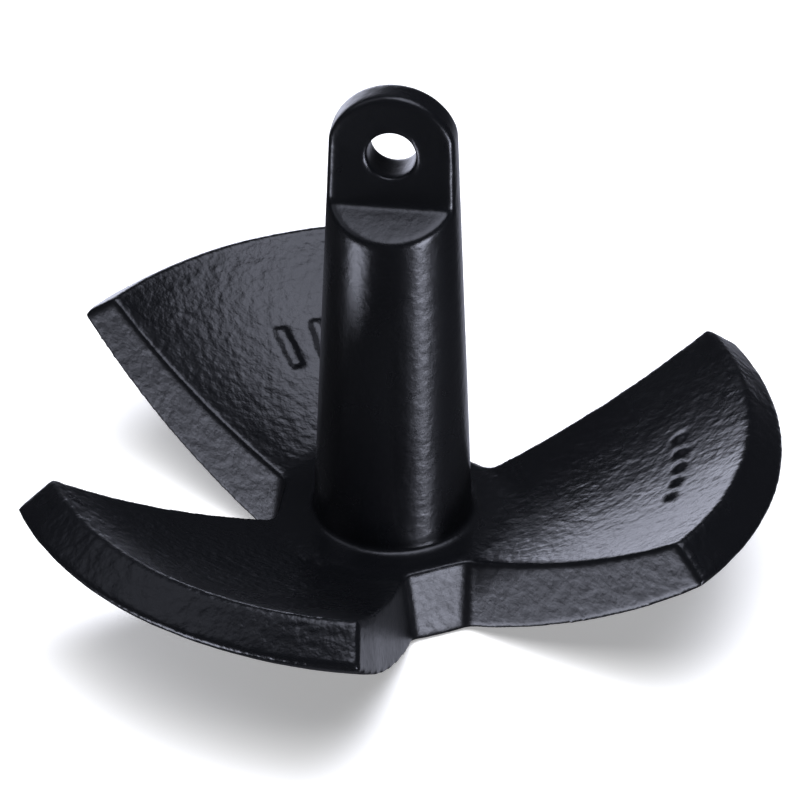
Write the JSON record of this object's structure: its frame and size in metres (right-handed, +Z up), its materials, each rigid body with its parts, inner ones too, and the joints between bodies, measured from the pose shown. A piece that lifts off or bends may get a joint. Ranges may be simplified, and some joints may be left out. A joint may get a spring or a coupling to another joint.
{
  "type": "river anchor",
  "caption": "Coated cast iron boat anchor with a round shank, a cross-bored eye and cupped flukes on a flat foot.",
  "frame": {"origin": "centre of the hub's foot, on the shank's axis in the plane that the anchor stands on", "axes": "+Z up along the shank to the eye; +X out along the middle of fluke_right; +Y along the bore of the eye"},
  "size_m": [0.3159, 0.3342, 0.2416],
  "materials": {
    "iron": "raw casting",
    "coating": "satin black vinyl over a sand casting"
  },
  "bodies": {
    "root": {"shank": "iron", "hub": "iron", "fluke_right": "iron", "fluke_rear": "iron", "fluke_front": "iron", "shank_coating": "coating", "hub_coating": "coating", "fluke_right_coating": "coating", "fluke_rear_coating": "coating", "fluke_front_coating": "coating"}
  },
  "joints": []
}
